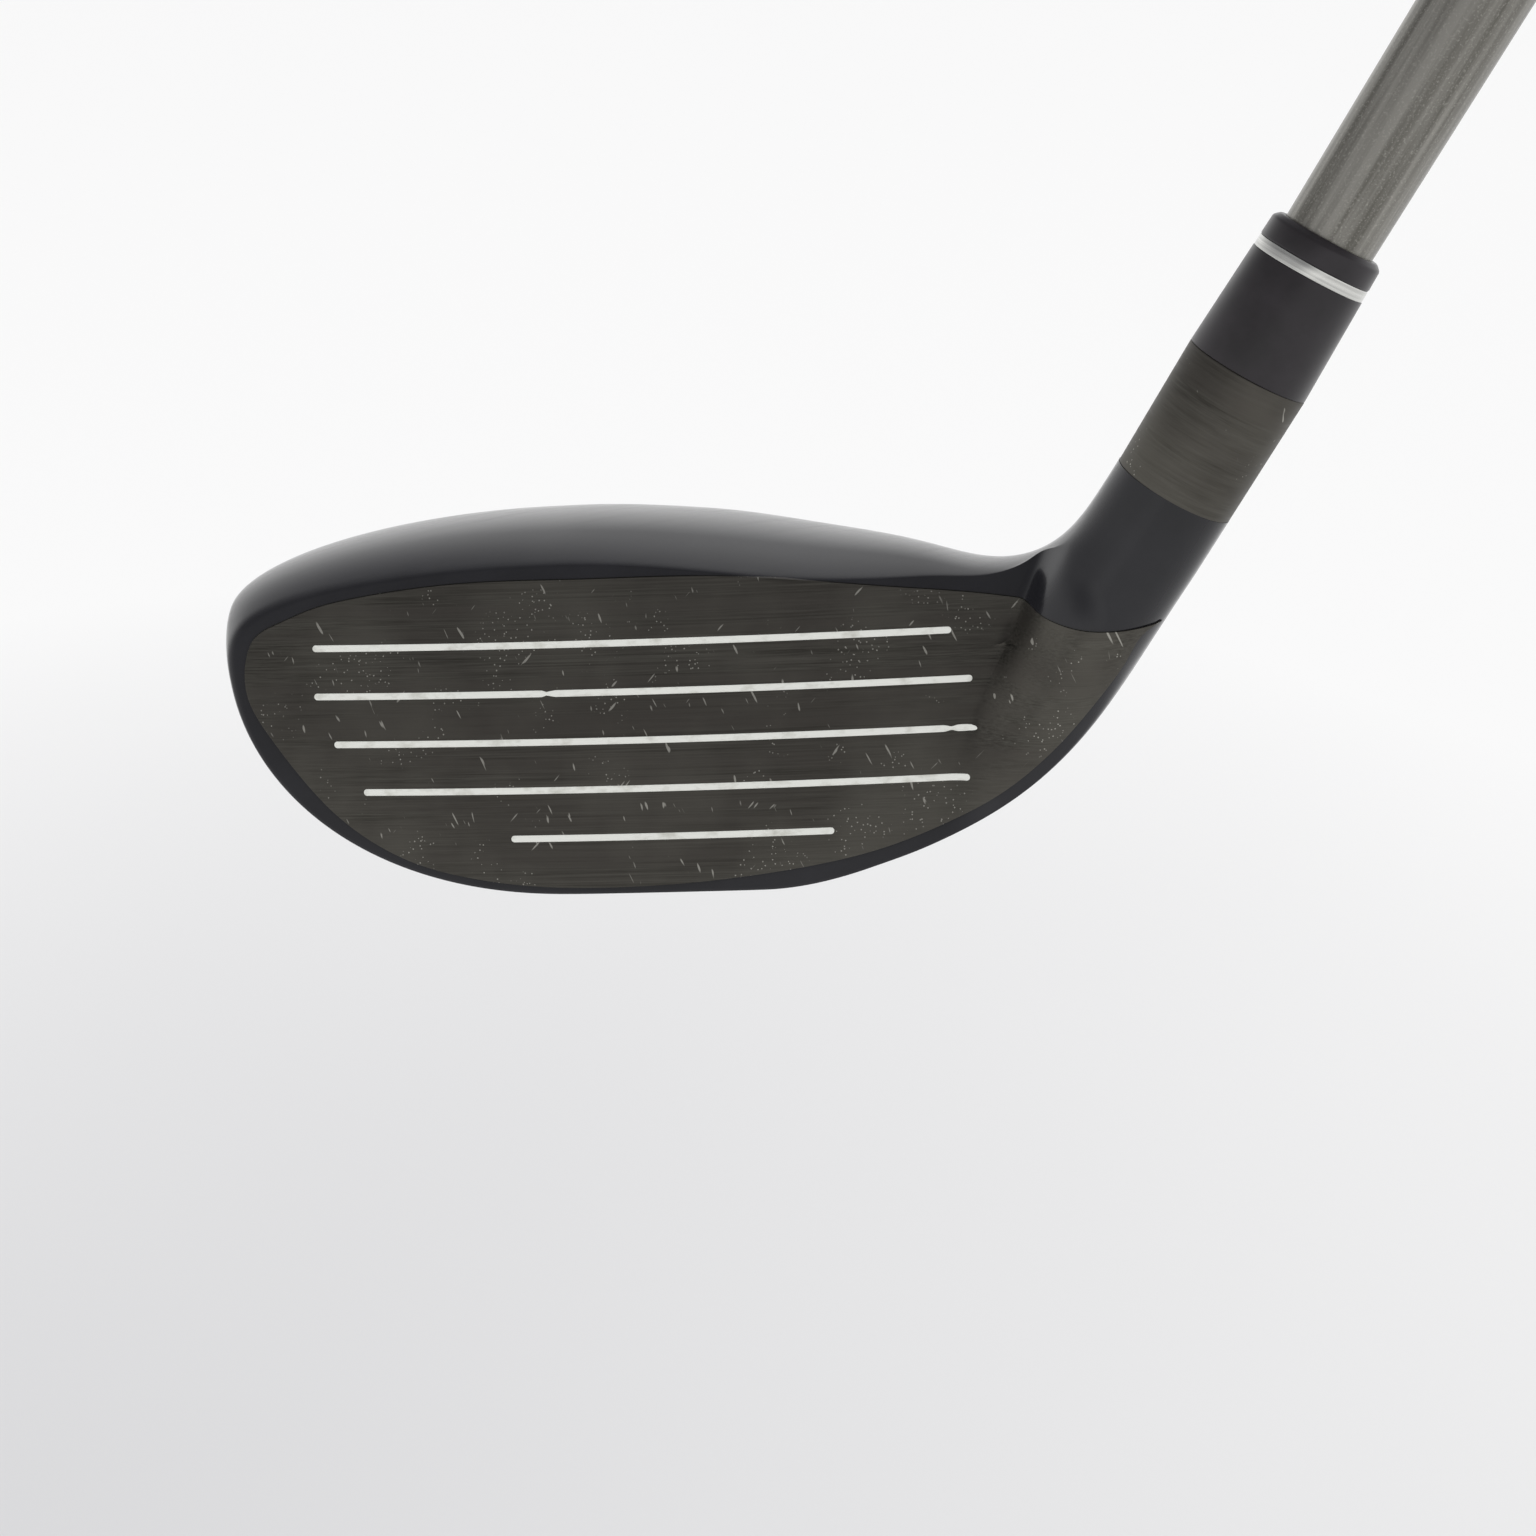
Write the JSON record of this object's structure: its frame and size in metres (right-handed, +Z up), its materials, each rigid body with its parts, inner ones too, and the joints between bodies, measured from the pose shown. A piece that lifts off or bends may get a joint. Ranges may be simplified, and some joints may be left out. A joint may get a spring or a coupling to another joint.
{
  "type": "hybrid golf club",
  "caption": "Right-handed hybrid golf club: low hollow black head with a brushed grooved face, short hosel, ferrule, tapered shaft and rubber grip.",
  "frame": {"origin": "on the ground at address, under the middle of the face's leading edge", "axes": "+Z up, -Y the way the face looks, -X towards the toe, +X towards the heel and the grip; the shaft lies in a plane across Y"},
  "size_m": [0.5755, 0.061, 0.9001],
  "materials": {
    "head_paint": "gloss black enamel on steel",
    "brushed_face": "brushed dark steel",
    "brushed_hosel": "brushed dark steel",
    "score_paint": "white paint fill",
    "badge": "blank satin badge",
    "bush_steel": "turned stainless steel",
    "tungsten": "sintered tungsten alloy",
    "hot_melt": "tacky damping melt",
    "stop_plug": "moulded plug",
    "brass_weight": "turned brass",
    "shaft_finish": "satin metallic grey",
    "ferrule_plastic": "buffed black plastic",
    "trim_ring": "polished ring",
    "tape": "double-sided tape",
    "grip_rubber": "moulded black rubber"
  },
  "bodies": {
    "club": {"head_body": "head_paint", "crown_plate": "head_paint", "face_plate": "brushed_face", "score_line_paint": "score_paint", "hosel_tube": "brushed_hosel", "sole_badge": "badge", "weight_port_bush": "bush_steel", "sole_weight_pad": "tungsten", "damping_melt": "hot_melt", "shaft_stop_plug": "stop_plug", "shaft_tip_weight": "brass_weight", "shaft_tube": "shaft_finish", "ferrule_body": "ferrule_plastic", "ferrule_trim_ring": "trim_ring", "ferrule_collar": "ferrule_plastic", "grip_tape": "tape", "grip_sleeve": "grip_rubber", "grip_cap": "grip_rubber"},
    "weight": {"weight_screw": "tungsten", "weight_washer": "bush_steel"}
  },
  "joints": [
    {"name": "weight_slide", "type": "slide", "parent": "club", "child": "weight", "axis": [0, 0.2299, -0.9732], "range_m": [0, 0.012]}
  ]
}
